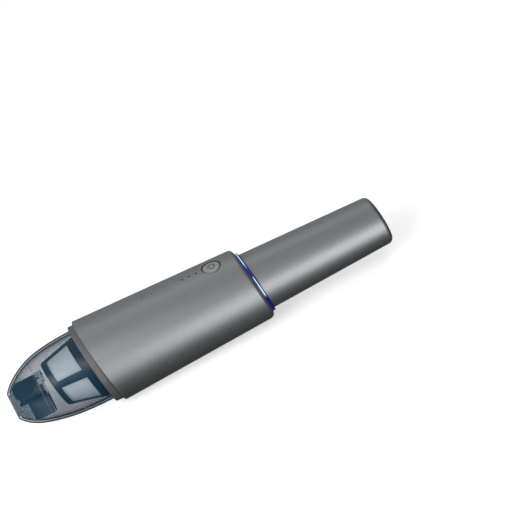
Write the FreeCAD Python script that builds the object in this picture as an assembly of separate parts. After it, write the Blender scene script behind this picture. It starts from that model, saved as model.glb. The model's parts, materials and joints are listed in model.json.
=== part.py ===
import FreeCAD, Part
import math
import os

# Handheld vacuum, in mm.  Everything is modelled about the long axis of the tool:
# X runs from the nozzle to the handle's end and is 0 where the axis crosses the
# joint between dust cup and body, Y runs to the left for someone looking along X, and
# Z is up through the power button.  export_all() then moves the whole tool onto its
# standing origin.

V = FreeCAD.Vector
X_AXIS = V(1, 0, 0)
Y_AXIS = V(0, 1, 0)
Z_AXIS = V(0, 0, 1)

# ---------------------------------------------------------------- driving sizes
FIT_GAP = 0.1            # between two pieces fixed to each other
MOVE_GAP = 0.35          # between two pieces that move apart
PRESS_GAP = 0.02         # between two pieces pressed or soldered together
BIG = 200.0              # larger than any section of the tool

# body: a slim cone whose ends lean towards the nozzle at the top
BODY_FRONT_R = 35.0
BODY_REAR_R = 30.1
BODY_LENGTH = 130.4
FRONT_RAKE = 0.183       # forward lean of the front joint, per mm of height
REAR_RAKE = 0.175        # forward lean of the light ring
BODY_WALL = 2.4
SHOULDER_ROUND = 4.2
REAR_WALL = 2.6
BODY_LIP = 0.6           # chamfer round the front edge of the shell
REST_FLAT_WIDTH = 17.0   # flat along the underside, on which the tool rests
FLAT_WALL = 1.6          # the shell is thinner than elsewhere behind that flat
SLOT_ROWS = 2
SLOTS_PER_ROW = 5
SLOT_X = 38.0
SLOT_PITCH = 7.0
SLOT_WIDTH = 3.0
SLOT_HALF_LENGTH = 6.0
SLOT_TURN = 100.0        # degrees from the top line round to the first row
SLOT_ROW_STEP = 28.0

# handle
RING_R = 25.7
RING_WIDTH = 2.5
RING_INNER_R = 21.1
HANDLE_FRONT_R = 23.8
HANDLE_REAR_R = 20.1
HANDLE_END_X = 240.0
HANDLE_RAKE = 0.131
HANDLE_WALL = 2.1
HANDLE_END_ROUND = 4.2
HANDLE_SEAM = 0.3
END_CAP_R = 14.5
END_CAP_THICK = 2.4
END_CAP_LEDGE = 1.8

# dust cup
CUP_R = 30.0             # radius of the ogive at the joint
CUP_REACH = 75.0         # length at which the ogive would close
CUP_POWER = 2.7
CUP_DROP = 2.0           # how far the nose sinks below the axis
CUP_WALL = 1.8
CUP_TIP_X = -71.6
CUP_STATIONS = 12
MOUTH_R = 8.6
CUP_REAR_X = 1.0
COLLAR_R = 32.8
COLLAR_FRONT_X = -5.6
COLLAR_RAKE = 0.16       # the collar's front edge leans a little less than the joint
COLLAR_LIP = 0.4
SPIGOT_R = 31.85
SPIGOT_END_X = 9.0

# intake duct, partition and flap inside the cup
DUCT_HALF_WIDTH = 12.0
DUCT_TOP_Z = 9.0
DUCT_BOTTOM_Z = -15.0
DUCT_WALL = 1.5
DUCT_CORNER_R = 3.4
DUCT_SIDE_TOP_Z = 3.0    # ahead of the duct's front only what is above this remains
DUCT_FRONT_X = -60.5
DUCT_REAR_X = -45.0
DUCT_NOSE_GAP = 1.2      # between the duct's front end and the inside of the nose
SILL_THICK = 1.2
SILL_TOP_Z = 0.5
PARTITION_X = -48.4
PARTITION_THICK = 1.2
FLAP_THICK = 1.2
FLAP_PIN_R = 0.8
FLAP_KNUCKLE_R = 1.5
FLAP_PIN_RISE = 2.2      # height of the pin above the duct's roof
FLAP_PIN_OFFSET = 0.45   # the pin sits this far behind the flap's middle
LUG_MARGIN = 1.9         # material round the pin
FLAP_TAB_HALF_WIDTH = 3.5
LUG_THICK = 1.5

# filter
CAGE_FRONT_X = -37.0
CAGE_REAR_X = -4.4
CAGE_FRONT_R = 18.3
CAGE_REAR_R = 26.5
CAGE_WALL = 1.6
CAGE_RIM = 4.4
CAGE_EDGE_ROUND = 1.0
CAGE_REAR_RIM = 7.8
CAGE_RIBS = 4
CAGE_RIB_ANGLE = 16.0    # degrees that each rib takes up round the axis
CAGE_RIB_START = 28.0    # degrees above the horizontal of the first rib
NECK_R = 23.6
NECK_WALL = 1.6
NECK_END_X = 6.0
PLEATS = 20
PLEAT_OUTER_R = 15.6
PLEAT_INNER_R = 11.0
PLEAT_BORE_R = 9.6

# motor and fan
FAN_R = 20.0
FAN_EYE_R = 9.5
FAN_FRONT_X = 17.0
FAN_DEPTH = 9.6
FAN_BLADES = 9
SHROUD_R = 24.4
MOTOR_R = 16.0
MOTOR_FRONT_X = 34.0
MOTOR_LENGTH = 34.0
SHAFT_R = 1.15
HUB_R = 4.2
BLADE_R = 16.0           # radius of the arc each blade follows
BEARING_R = 3.5
TERMINAL_Y = 10.5
RUNNING_FIT = 0.03
BULKHEAD_X = 9.6
BULKHEAD_THICK = 2.0
GRILLE_R = 13.0

# buttons and lamps on the top line
POWER_X = 104.6
POWER_R = 6.6
POWER_SHADOW_GAP = 1.0   # dark line round the power button
POWER_EDGE = 0.45        # width of the step round its top
POWER_FLANGE = 1.5       # the flange stands this much proud of the button's side
POWER_FLANGE_THICK = 1.2
POWER_SKIRT_DEPTH = 5.4  # below the shell's top line
POWER_CAP_DEPTH = 3.2
POWER_BEZEL_WALL = 1.4
POWER_TRAVEL = 0.8
LAMP_X = (81.0, 86.8, 92.4)
LAMP_R = 0.8
RELEASE_X = 52.0
RELEASE_LENGTH = 8.6
RELEASE_WIDTH = 5.0
RELEASE_GAP = 0.2
RELEASE_TRAVEL = 1.8
RELEASE_ARM_Z = 26.6
RELEASE_ARM_THICK = 1.6
LATCH_X = 4.2            # front of the tooth that holds the cup's ring
LATCH_LENGTH = 3.0
LATCH_HALF_WIDTH = 4.0
LATCH_TOP_Z = 29.7
LATCH_PLAY = 0.6
BOARD_TOP_Z = 19.0
BOARD_THICK = 1.6
BOARD_FRONT_X = 75.0
BOARD_REAR_X = 113.5
BOARD_HALF_WIDTH = 15.0
SCREW_INSET = 4.0        # screws from the board's short edges
SCREW_Y = 11.5

# battery
CELL_R = 9.1
CELL_LENGTH = 65.0
CELL_FRONT_X = 138.0
CELL_SPACING = 18.5
STRIP_THICK = 0.3

# charging socket
PORT_WIDTH = 9.0
PORT_HEIGHT = 3.3
PORT_DEPTH = 7.5
PORT_WALL = 0.4

PARTS = {}


# ---------------------------------------------------------------- basic shapes
def body_radius(x):
    return BODY_FRONT_R + (BODY_REAR_R - BODY_FRONT_R) * x / BODY_LENGTH


def handle_radius(x):
    start = BODY_LENGTH + RING_WIDTH
    return HANDLE_FRONT_R + (HANDLE_REAR_R - HANDLE_FRONT_R) * (x - start) / (HANDLE_END_X - start)


def cage_radius(x):
    along = (x - CAGE_FRONT_X) / (CAGE_REAR_X - CAGE_FRONT_X)
    return CAGE_FRONT_R + (CAGE_REAR_R - CAGE_FRONT_R) * along


def rod(radius, x0, x1, y=0.0, z=0.0):
    """Round bar along X."""
    return Part.makeCylinder(radius, x1 - x0, V(x0, y, z), X_AXIS)


def tube(outer, inner, x0, x1):
    return rod(outer, x0, x1).cut(rod(inner, x0 - 1, x1 + 1))


def post(radius, x, y, z0, z1):
    """Round bar along Z."""
    return Part.makeCylinder(radius, z1 - z0, V(x, y, z0), Z_AXIS)


def block(x0, x1, y0, y1, z0, z1):
    return Part.makeBox(x1 - x0, y1 - y0, z1 - z0, V(x0, y0, z0))


def behind(x, rake):
    """Everything to the handle's side of a plane that leans to the nozzle at the top."""
    half = Part.makeBox(2 * BIG, 2 * BIG, 2 * BIG, V(0, -BIG, -BIG))
    half.rotate(V(0, 0, 0), Y_AXIS, -math.degrees(math.atan(rake)))
    half.translate(V(x, 0, 0))
    return half


def between(shape, x0, rake0, x1, rake1):
    """The part of a shape between two leaning planes."""
    return shape.common(behind(x0, rake0)).cut(behind(x1, rake1))


def cone(radius_at, inset, x0, x1):
    """Cone along X whose radius follows a straight-line rule, less an inset."""
    return Part.makeCone(radius_at(x0) - inset, radius_at(x1) - inset, x1 - x0, V(x0, 0, 0), X_AXIS)


def slice_of_cone(radius_at, inset, x0, rake0, x1, rake1):
    """Cone section between two leaning planes."""
    spare = BODY_FRONT_R * max(rake0, rake1) + 1.0
    return between(cone(radius_at, inset, x0 - spare, x1 + spare), x0, rake0, x1, rake1)


def pill(length, width, x, z0, z1):
    """Rounded slot shape, long along X, standing along Z."""
    half = (length - width) / 2
    shape = block(x - half, x + half, -width / 2, width / 2, z0, z1)
    for side in both_sides(half):
        shape = shape.fuse(post(width / 2, x + side, 0, z0, z1))
    return shape.removeSplitter()


def around_axis(shape, count, first=0.0):
    """Copies of a shape, evenly turned about the long axis."""
    copies = []
    for i in range(count):
        copy = shape.copy()
        copy.rotate(V(0, 0, 0), X_AXIS, first + 360.0 * i / count)
        copies.append(copy)
    return copies


def end_edge(shape, sign):
    """The edge round a shape's end: sign -1 for the nozzle's side, 1 for the handle's."""
    round_edges = [edge for edge in shape.Edges if edge.BoundBox.YLength > 1]
    return max(round_edges, key=lambda edge: sign * edge.BoundBox.Center.x)


def both_sides(distance):
    return -distance, distance


def cut_all(shape, tools):
    for tool in tools:
        shape = shape.cut(tool)
    return shape


def fuse_all(shapes):
    whole = shapes[0]
    for shape in shapes[1:]:
        whole = whole.fuse(shape)
    return whole.removeSplitter()


def group(shapes):
    return Part.makeCompound(shapes)


def add(name, shape):
    PARTS[name] = shape


# ---------------------------------------------------------------- body
def exhaust_slots():
    """Rows of air slots low on the side that Y points to."""
    slots = []
    for row in range(SLOT_ROWS):
        for i in range(SLOTS_PER_ROW):
            x = SLOT_X + SLOT_PITCH * i
            slot = block(x, x + SLOT_WIDTH, -SLOT_HALF_LENGTH, SLOT_HALF_LENGTH, 20, 40)
            slot.rotate(V(0, 0, 0), X_AXIS, -(SLOT_TURN + SLOT_ROW_STEP * row))
            slots.append(slot)
    return slots


def rest_flat(inset):
    """Wedge below the flat on the underside, parallel to the cone's lowest line."""
    depth = BODY_FRONT_R - math.sqrt(BODY_FRONT_R ** 2 - (REST_FLAT_WIDTH / 2) ** 2)
    wedge = Part.makeBox(2 * BIG, 2 * BIG, BIG, V(-BIG, -BIG, -BIG))
    taper = math.degrees(math.atan((BODY_FRONT_R - BODY_REAR_R) / BODY_LENGTH))
    wedge.rotate(V(0, 0, 0), Y_AXIS, -taper)
    wedge.translate(V(0, 0, -BODY_FRONT_R + depth + inset))
    return wedge


def body_shell():
    outer = slice_of_cone(body_radius, 0, 0, FRONT_RAKE, BODY_LENGTH, REAR_RAKE)
    outer = outer.makeFillet(SHOULDER_ROUND, [end_edge(outer, 1)])
    outer = outer.makeChamfer(BODY_LIP, [end_edge(outer, -1)])
    outer = outer.cut(rest_flat(0))
    inner = slice_of_cone(body_radius, BODY_WALL, -10, FRONT_RAKE, BODY_LENGTH - REAR_WALL, REAR_RAKE)
    shell = outer.cut(inner.cut(rest_flat(FLAT_WALL)))
    openings = [rod(RING_INNER_R + 2.4, BODY_LENGTH - 20, BODY_LENGTH + 20)]
    openings.append(post(POWER_R + POWER_SHADOW_GAP, POWER_X, 0, 20, 40))
    length, width = RELEASE_LENGTH + 2 * RELEASE_GAP, RELEASE_WIDTH + 2 * RELEASE_GAP
    openings.append(pill(length, width, RELEASE_X, 20, 40))
    for x in LAMP_X:
        openings.append(post(LAMP_R + 0.05, x, 0, 20, 40))
    return cut_all(shell, openings + exhaust_slots())


def bulkhead():
    """Wall behind the filter: a socket for the filter's neck and a grille ahead of the fan."""
    rim_r = body_radius(BULKHEAD_X + BULKHEAD_THICK) - BODY_WALL - FIT_GAP
    plate = rod(rim_r, BULKHEAD_X, BULKHEAD_X + BULKHEAD_THICK).cut(rest_flat(BODY_WALL))
    plate = plate.cut(rod(GRILLE_R, BULKHEAD_X - 1, BULKHEAD_X + BULKHEAD_THICK + 1))
    socket = tube(NECK_R + 2.2, NECK_R + MOVE_GAP, 0, BULKHEAD_X)
    socket = socket.common(behind(0.4, FRONT_RAKE))
    reach = GRILLE_R + 0.5
    bar = block(BULKHEAD_X, BULKHEAD_X + BULKHEAD_THICK, -0.9, 0.9, -reach, reach)
    web = around_axis(bar, 4)
    rings = [tube(7.2, 5.6, BULKHEAD_X, BULKHEAD_X + BULKHEAD_THICK)]
    wall = fuse_all([plate, socket] + web + rings)
    arm_low = RELEASE_ARM_Z - RELEASE_TRAVEL - MOVE_GAP
    half = LATCH_HALF_WIDTH + LATCH_PLAY
    latch_slot = block(-5, BULKHEAD_X + 5, -half, half, arm_low, 40)
    return wall.cut(latch_slot)


def motor_frame():
    """Tube that carries the motor, with fins out to the shell and windows for the air."""
    x0, x1 = MOTOR_FRONT_X - 2, MOTOR_FRONT_X + MOTOR_LENGTH + 1.6
    frame = tube(21.4, 19.8, x0, x1)
    fin = block(x0 + 2, x1 - 4, -0.9, 0.9, 20.6, 40)
    room = cone(body_radius, BODY_WALL + FIT_GAP + 1.5, x0, x1)
    fins = [copy.common(room) for copy in around_axis(fin, 4, 45)]
    window = block(x0 + 12, x1 - 8, -6, 6, 0, 30)
    windows = around_axis(window, 4, 0)
    seat = tube(20.2, MOTOR_R + 3.2, x1 - 5, x1 - 2)
    return cut_all(fuse_all([frame] + fins + [seat]), windows)


# ---------------------------------------------------------------- fan and motor
def fan_shroud():
    x0 = BULKHEAD_X + BULKHEAD_THICK + FIT_GAP
    x1 = MOTOR_FRONT_X - 4.4
    wall = rod(SHROUD_R, x0, x1).cut(rod(SHROUD_R - 1.4, FAN_FRONT_X - 1.2, x1 + 1))
    return wall.cut(rod(FAN_EYE_R - 0.3, x0 - 1, x1))


def impeller():
    """Closed fan wheel: hub, back disc, front ring and backward-curved blades."""
    x0, x1 = FAN_FRONT_X, FAN_FRONT_X + FAN_DEPTH
    back = rod(FAN_R, x1 - 1.2, x1)
    front = tube(FAN_R, FAN_EYE_R, x0, x0 + 1.0)
    hub = rod(HUB_R, x0 + 1.5, x1)
    arc_z = BLADE_R + 4
    blade_arc = Part.makeCylinder(BLADE_R, FAN_DEPTH - 1.0, V(x0 + 0.5, 0, arc_z), X_AXIS)
    blade_arc = blade_arc.cut(Part.makeCylinder(BLADE_R - 1.0, FAN_DEPTH, V(x0 + 0.3, 0, arc_z), X_AXIS))
    reach = rod(FAN_R, x0, x1).cut(rod(HUB_R - 0.6, x0 - 1, x1 + 1))
    blade = blade_arc.common(reach).common(block(x0, x1, 0, FAN_R, -2, FAN_R))
    wheel = fuse_all([back, front, hub] + around_axis(blade, FAN_BLADES))
    return wheel.cut(rod(SHAFT_R + PRESS_GAP, x0 - 1, x1 + 1))


def stator_plate():
    """Plate behind the fan that turns the air and carries the motor's front."""
    x0, x1 = MOTOR_FRONT_X - 4.2, MOTOR_FRONT_X - 2.1
    plate = rod(SHROUD_R, x0, x1).cut(rod(6.2, x0 - 1, x1 + 1))
    slot = block(x0 - 1, x1 + 1, -3.6, 3.6, 15.5, 20.8)
    return cut_all(plate, around_axis(slot, 8, 22.5))


def motor_can():
    x0, x1 = MOTOR_FRONT_X, MOTOR_FRONT_X + MOTOR_LENGTH
    can = rod(MOTOR_R, x0, x1).cut(rod(MOTOR_R - 1.2, x0 + 1.2, x1 + 1))
    nose = rod(5.6, x0 - 2.8, x0)
    return can.fuse(nose).cut(rod(BEARING_R, x0 - 4, x0 + 2)).removeSplitter()


def motor_end_plate():
    x1 = MOTOR_FRONT_X + MOTOR_LENGTH
    plate = rod(MOTOR_R - 1.3, x1 - 2.4, x1).fuse(rod(5.6, x1, x1 + 2.6))
    plate = plate.cut(rod(BEARING_R, x1 - 4, x1 + 4))
    holes = [block(x1 - 4, x1 + 1, y - 1.3, y + 1.3, -1.0, 1.0) for y in both_sides(TERMINAL_Y)]
    return cut_all(plate.removeSplitter(), holes)


def motor_terminals():
    x1 = MOTOR_FRONT_X + MOTOR_LENGTH
    return group([block(x1 - 3.4, x1 + 4.2, y - 1.1, y + 1.1, -0.4, 0.4) for y in both_sides(TERMINAL_Y)])


def motor_magnets():
    arc = tube(MOTOR_R - 1.3, MOTOR_R - 3.3, MOTOR_FRONT_X + 5, MOTOR_FRONT_X + 28)
    gap = block(MOTOR_FRONT_X, MOTOR_FRONT_X + 40, -3.5, 3.5, -20, 20)
    return arc.cut(gap)


def motor_bushes():
    x0, x1 = MOTOR_FRONT_X, MOTOR_FRONT_X + MOTOR_LENGTH
    front = tube(BEARING_R - 0.05, SHAFT_R + RUNNING_FIT, x0 - 2.4, x0 + 1.2)
    rear = tube(BEARING_R - 0.05, SHAFT_R + RUNNING_FIT, x1 - 1.6, x1 + 2.2)
    return group([front, rear])


def motor_shaft():
    return rod(SHAFT_R, FAN_FRONT_X + 0.6, MOTOR_FRONT_X + MOTOR_LENGTH + 2.0)


def motor_rotor():
    """Five-pole armature, its winding heads and the commutator."""
    x0 = MOTOR_FRONT_X + 6
    core = rod(12.2, x0, x0 + 20)
    slot = block(x0 - 1, x0 + 21, -1.3, 1.3, 5.2, 13)
    core = cut_all(core, around_axis(slot, 5))
    heads = [rod(8.2, x0 - 1.8, x0), rod(8.2, x0 + 20, x0 + 21.8)]
    commutator = rod(4.0, x0 + 21.8, x0 + 24.6)
    rotor = fuse_all([core] + heads + [commutator])
    return rotor.cut(rod(SHAFT_R + PRESS_GAP, x0 - 5, x0 + 30))


def motor_sleeve():
    """Rubber sleeve that keeps the motor's hum out of the housing."""
    sleeve = tube(19.7, MOTOR_R + 0.1, MOTOR_FRONT_X + 1, MOTOR_FRONT_X + 10)
    groove = block(MOTOR_FRONT_X, MOTOR_FRONT_X + 11, -1.6, 1.6, 18, 21)
    return cut_all(sleeve, around_axis(groove, 8))


def motor_leads():
    """Two insulated wires from the motor's terminals up to the control board."""
    x0 = MOTOR_FRONT_X + MOTOR_LENGTH + 3.4
    top = BOARD_TOP_Z - BOARD_THICK - 1.0
    leads = []
    for y in both_sides(TERMINAL_Y):
        lead = post(0.8, x0, y, 0.6, top)
        elbow = Part.makeSphere(0.8, V(x0, y, top))
        along = rod(0.8, x0, x0 + 4, y, top)
        leads.append(fuse_all([lead, elbow, along]))
    return group(leads)


# ---------------------------------------------------------------- controls
def board_corners():
    """Places of the four screws that hold the control board."""
    ends = (BOARD_FRONT_X + SCREW_INSET, BOARD_REAR_X - SCREW_INSET)
    return [(x, y) for x in ends for y in both_sides(SCREW_Y)]


def control_board():
    board = block(BOARD_FRONT_X, BOARD_REAR_X, -BOARD_HALF_WIDTH, BOARD_HALF_WIDTH,
                  BOARD_TOP_Z - BOARD_THICK, BOARD_TOP_Z)
    return cut_all(board, [post(1.3, x, y, 0, 30) for x, y in board_corners()])


def board_frame():
    """Tray that holds the control board and joins the motor frame to the neck."""
    x0, x1 = BOARD_FRONT_X, BOARD_REAR_X
    tray = block(x0 - 1, x1 + 1, -16.5, 16.5, BOARD_TOP_Z - 7.5, BOARD_TOP_Z - 5.9)
    posts = []
    holes = []
    for x, y in board_corners():
        posts.append(post(2.6, x, y, BOARD_TOP_Z - 6.5, BOARD_TOP_Z - BOARD_THICK - 0.05))
        holes.append(post(0.95, x, y, BOARD_TOP_Z - 10, 30))
    window = block(x0 + 10, x1 - 10, -8, 8, 0, BOARD_TOP_Z)
    rib = block(x0 - 1, x1 + 1, -0.8, 0.8, BOARD_TOP_Z - 12, BOARD_TOP_Z - 7)
    ribs = [rib.translated(V(0, y, 0)) for y in both_sides(14)]
    return cut_all(fuse_all([tray] + posts + ribs), holes + [window])


def board_screws():
    screws = []
    for x, y in board_corners():
        shank = post(0.9, x, y, BOARD_TOP_Z - 6.2, BOARD_TOP_Z + 0.1)
        head = post(2.0, x, y, BOARD_TOP_Z + 0.05, BOARD_TOP_Z + 1.3)
        drive = block(x - 1.2, x + 1.2, y - 0.25, y + 0.25, BOARD_TOP_Z + 0.8, BOARD_TOP_Z + 2)
        screws.append(shank.fuse(head).cut(drive).removeSplitter())
    return group(screws)


def tact_switch():
    base = block(POWER_X - 3, POWER_X + 3, -3, 3, BOARD_TOP_Z + PRESS_GAP, BOARD_TOP_Z + 3.4)
    return base.fuse(post(1.7, POWER_X, 0, BOARD_TOP_Z + 3, BOARD_TOP_Z + 4.3)).removeSplitter()


def controller_chips():
    """Controller, motor driver and coil on the control board."""
    foot = BOARD_TOP_Z + PRESS_GAP
    chip = block(86, 93, -11.5, -4.5, foot, BOARD_TOP_Z + 1.6)
    driver = block(77, 83, 3, 9.2, foot, BOARD_TOP_Z + 2.3)
    coil = post(3.2, 96, 9.5, foot, BOARD_TOP_Z + 4.5)
    return group([chip, driver, coil])


def lamp_leds():
    foot = BOARD_TOP_Z + PRESS_GAP
    return group([block(x - 0.9, x + 0.9, -0.7, 0.7, foot, BOARD_TOP_Z + 0.9) for x in LAMP_X])


def lamp_lenses():
    """Three light pipes on one bar; their ends are the dots ahead of the button."""
    bar = block(LAMP_X[0] - 2, LAMP_X[2] + 2, -1.6, 1.6, 25.6, 27.0)
    pipes = [post(LAMP_R, x, 0, BOARD_TOP_Z + 1.2, body_radius(x) - 0.15) for x in LAMP_X]
    return fuse_all([bar] + pipes)


def power_cap(radius, inset):
    """Upper part of the power button, its top curved like the shell but lower by an inset."""
    top = body_radius(POWER_X)
    cap = post(radius, POWER_X, 0, top - POWER_CAP_DEPTH, top + 2)
    return cap.common(cone(body_radius, inset, POWER_X - 20, POWER_X + 20))


def power_button():
    """Round key with a stepped edge, a flange and a stem over the switch."""
    top = body_radius(POWER_X)
    foot = top - POWER_SKIRT_DEPTH
    skirt = post(POWER_R, POWER_X, 0, foot, top - POWER_CAP_DEPTH + 0.2)
    flange = post(POWER_R + POWER_FLANGE, POWER_X, 0, foot, foot + POWER_FLANGE_THICK)
    stem = post(1.6, POWER_X, 0, BOARD_TOP_Z + 5.4, top - 5)
    return fuse_all([power_cap(POWER_R, 0.4), power_cap(POWER_R - POWER_EDGE, 0.1), skirt, flange, stem])


def power_bezel():
    """Sleeve under the shell in which the power button slides."""
    top = body_radius(POWER_X)
    bore_r = POWER_R + POWER_FLANGE + MOVE_GAP
    sleeve = post(bore_r + POWER_BEZEL_WALL, POWER_X, 0, top - POWER_SKIRT_DEPTH - 2, top - 1)
    sleeve = sleeve.common(cone(body_radius, BODY_WALL + FIT_GAP, POWER_X - 20, POWER_X + 20))
    return sleeve.cut(post(bore_r, POWER_X, 0, top - 20, top + 5))


# ---------------------------------------------------------------- cup release
def release_button():
    """Flush thumb key with an arm that reaches forward to the cup's ring."""
    top = body_radius(RELEASE_X)
    key = pill(RELEASE_LENGTH, RELEASE_WIDTH, RELEASE_X, top - 5.2, top + 2)
    key = key.common(cone(body_radius, 0.1, RELEASE_X - 20, RELEASE_X + 20))
    across = (-LATCH_HALF_WIDTH, LATCH_HALF_WIDTH)
    arm = block(LATCH_X, RELEASE_X + 8.5, *across, RELEASE_ARM_Z, RELEASE_ARM_Z + RELEASE_ARM_THICK)
    tooth = block(LATCH_X, LATCH_X + LATCH_LENGTH, *across, RELEASE_ARM_Z, LATCH_TOP_Z)
    return fuse_all([key, arm, tooth])


def release_spring():
    """Coil spring between the arm of the release key and the guide below it."""
    z0, z1 = 23.2, 26.5
    helix = Part.makeHelix(1.05, z1 - z0 - 0.7, 2.0)
    helix.translate(V(RELEASE_X, 0, z0 + 0.35))
    wire = Part.Wire(Part.makeCircle(0.28, V(RELEASE_X + 2.0, 0, z0 + 0.35), Y_AXIS))
    return Part.Wire(helix.Edges).makePipeShell([wire], True, True)


def release_guide():
    """Bridge over the motor frame that carries the release spring."""
    bridge = block(RELEASE_X - 8, RELEASE_X + 8, -5.5, 5.5, 21.8, 23.1)
    rails = [block(RELEASE_X - 8, RELEASE_X + 8, y - 0.7, y + 0.7, 22.5, 28.6) for y in both_sides(5.0)]
    return fuse_all([bridge] + rails)


# ---------------------------------------------------------------- light ring and neck
def light_ring():
    """Clear ring between body and handle, with a collar that takes in light."""
    x1 = BODY_LENGTH + RING_WIDTH - HANDLE_SEAM
    ring = between(rod(RING_R, 110, 150), BODY_LENGTH + 0.05, REAR_RAKE, x1, REAR_RAKE)
    collar = rod(RING_INNER_R + 2.3, 110, 150)
    collar = between(collar, BODY_LENGTH - 4.2, REAR_RAKE, BODY_LENGTH + 1, REAR_RAKE)
    return ring.fuse(collar).removeSplitter().cut(rod(RING_INNER_R, 100, 160))


def ring_board():
    board = between(rod(26.2, 110, 140), BODY_LENGTH - 5.6, REAR_RAKE, BODY_LENGTH - 4.6, REAR_RAKE)
    return board.cut(rod(RING_INNER_R, 100, 160))


def ring_leds():
    """Eight lamps on the ring board, facing the collar of the light ring."""
    leds = []
    for i in range(8):
        angle = math.radians(22.5 + 45 * i)
        y, z = 24.8 * math.cos(angle), 24.8 * math.sin(angle)
        x = BODY_LENGTH - 4.5 - REAR_RAKE * z
        leds.append(block(x + 0.15, x + 0.95, y - 0.7, y + 0.7, z - 0.7, z + 0.7))
    return group(leds)


def neck():
    """Tube through the light ring that ties the handle to the body."""
    sleeve = tube(RING_INNER_R - 0.2, 19.0, 117.5, 147)
    flange = tube(26.4, 19.0, 117.5, 119.7)
    holes = around_axis(rod(1.2, 110, 130, 0, 24), 4, 45)
    return cut_all(sleeve.fuse(flange).removeSplitter(), holes)


def neck_screws():
    """Four screws that hold the neck's flange to the shell's rear posts."""
    shank = rod(1.1, 115.8, 121.5, 0, 24)
    head = rod(2.1, 115.0, 117.4, 0, 24).cut(block(114, 115.9, -1.4, 1.4, 23.7, 24.3))
    return group(around_axis(shank.fuse(head).removeSplitter(), 4, 45))


# ---------------------------------------------------------------- handle
def handle_shell():
    start = BODY_LENGTH + RING_WIDTH
    outer = slice_of_cone(handle_radius, 0, start, REAR_RAKE, HANDLE_END_X, HANDLE_RAKE)
    outer = outer.makeFillet(HANDLE_END_ROUND, [end_edge(outer, 1)])
    bore_end = HANDLE_END_X - END_CAP_THICK - 2.4
    inner = slice_of_cone(handle_radius, HANDLE_WALL, start - 5, REAR_RAKE, bore_end, HANDLE_RAKE)
    recess = between(rod(END_CAP_R + FIT_GAP, 220, 260), HANDLE_END_X - END_CAP_THICK, HANDLE_RAKE, 260, 0)
    hole = rod(END_CAP_R - END_CAP_LEDGE, 220, 260)
    return cut_all(outer, [inner, recess, hole])


def end_cap():
    """Disc set into the handle's end, with the mouth of the charging socket."""
    front = HANDLE_END_X - END_CAP_THICK + 0.1
    disc = between(rod(END_CAP_R, 220, 260), front, HANDLE_RAKE, HANDLE_END_X, HANDLE_RAKE)
    return disc.cut(port_shape(PORT_WIDTH + 0.6, PORT_HEIGHT + 0.6, 225, 255))


def port_shape(width, height, x0, x1):
    """Flat-sided rounded bar along X, wide along Y."""
    half = (width - height) / 2
    bar = block(x0, x1, -half, half, -height / 2, height / 2)
    for side in both_sides(half):
        bar = bar.fuse(rod(height / 2, x0, x1, side, 0))
    return bar.removeSplitter()


def charge_port():
    """Metal-shelled charging socket with its tongue."""
    x1 = HANDLE_END_X - 0.9
    x0 = x1 - PORT_DEPTH
    shell = port_shape(PORT_WIDTH, PORT_HEIGHT, x0, x1)
    inner = port_shape(PORT_WIDTH - 2 * PORT_WALL, PORT_HEIGHT - 2 * PORT_WALL, x0 + 1.0, x1 + 1)
    tongue = block(x0 + 0.5, x1 - 1.2, -3.2, 3.2, -0.35, 0.35)
    return shell.cut(inner).fuse(tongue).removeSplitter()


def charge_board():
    x1 = HANDLE_END_X - 1.9
    board = block(x1 - 24, x1 - 3, -11, 11, -PORT_HEIGHT / 2 - 1.7, -PORT_HEIGHT / 2 - 0.1)
    return cut_all(board, [post(1.3, x1 - 20, y, -20, 20) for y in both_sides(8)])


def battery_cells():
    cells = []
    for y in both_sides(CELL_SPACING / 2):
        can = rod(CELL_R, CELL_FRONT_X, CELL_FRONT_X + CELL_LENGTH, y)
        button = rod(3.0, CELL_FRONT_X + CELL_LENGTH, CELL_FRONT_X + CELL_LENGTH + 0.6, y)
        cells.append(can.fuse(button).removeSplitter())
    return group(cells)


def cell_holders():
    """A holder around each end of the two cells."""
    holders = []
    for x0 in (CELL_FRONT_X + 4, CELL_FRONT_X + CELL_LENGTH - 9):
        room = cone(handle_radius, HANDLE_WALL + FIT_GAP, x0, x0 + 5)
        if x0 < 150:
            room = rod(18.9, x0, x0 + 5)
        for y in both_sides(CELL_SPACING / 2):
            room = room.cut(rod(CELL_R + 0.05, x0 - 1, x0 + 6, y))
        middle = block(x0 - 1, x0 + 6, -4.4, 4.4, -30, 30)
        room = room.common(middle)
        holders.extend(room.Solids)
    return group(holders)


def nickel_strips():
    """One strip that joins the cells at the back and a tab on each at the front."""
    x1 = CELL_FRONT_X + CELL_LENGTH + 0.65
    joined = block(x1, x1 + STRIP_THICK, -CELL_SPACING / 2 - 3, CELL_SPACING / 2 + 3, -3, 3)
    x0 = CELL_FRONT_X - STRIP_THICK - 0.05
    tabs = [block(x0, x0 + STRIP_THICK, y - 4, y + 4, -3, 3) for y in both_sides(CELL_SPACING / 2)]
    return group([joined] + tabs)


def battery_leads():
    """Two wires from the cells' front tabs forward to the control board."""
    leads = []
    for y in both_sides(CELL_SPACING / 2):
        x0 = CELL_FRONT_X - 1.3
        run = rod(0.9, 112, x0, y, 8)
        drop = post(0.9, x0, y, 2, 8)
        corner = Part.makeSphere(0.9, V(x0, y, 8))
        leads.append(fuse_all([run, drop, corner]))
    return group(leads)


# ---------------------------------------------------------------- dust cup
def nose_radius(x):
    along = min(max(-x / CUP_REACH, 0.0), 1.0)
    return CUP_R * math.sqrt(1 - along ** CUP_POWER)


def nose_drop(x):
    """The nose's centre line sinks smoothly towards the tip."""
    along = (-x / CUP_REACH - 0.55) / 0.4
    along = min(max(along, 0.0), 1.0)
    return -CUP_DROP * along * along * (3 - 2 * along)


def nose_wall(x):
    """Wall measured across the axis, so that it stays even along the slope."""
    step = 0.2
    slope = (nose_radius(x - step) - nose_radius(x + step)) / (2 * step)
    return math.sqrt(1 + slope * slope)


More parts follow.
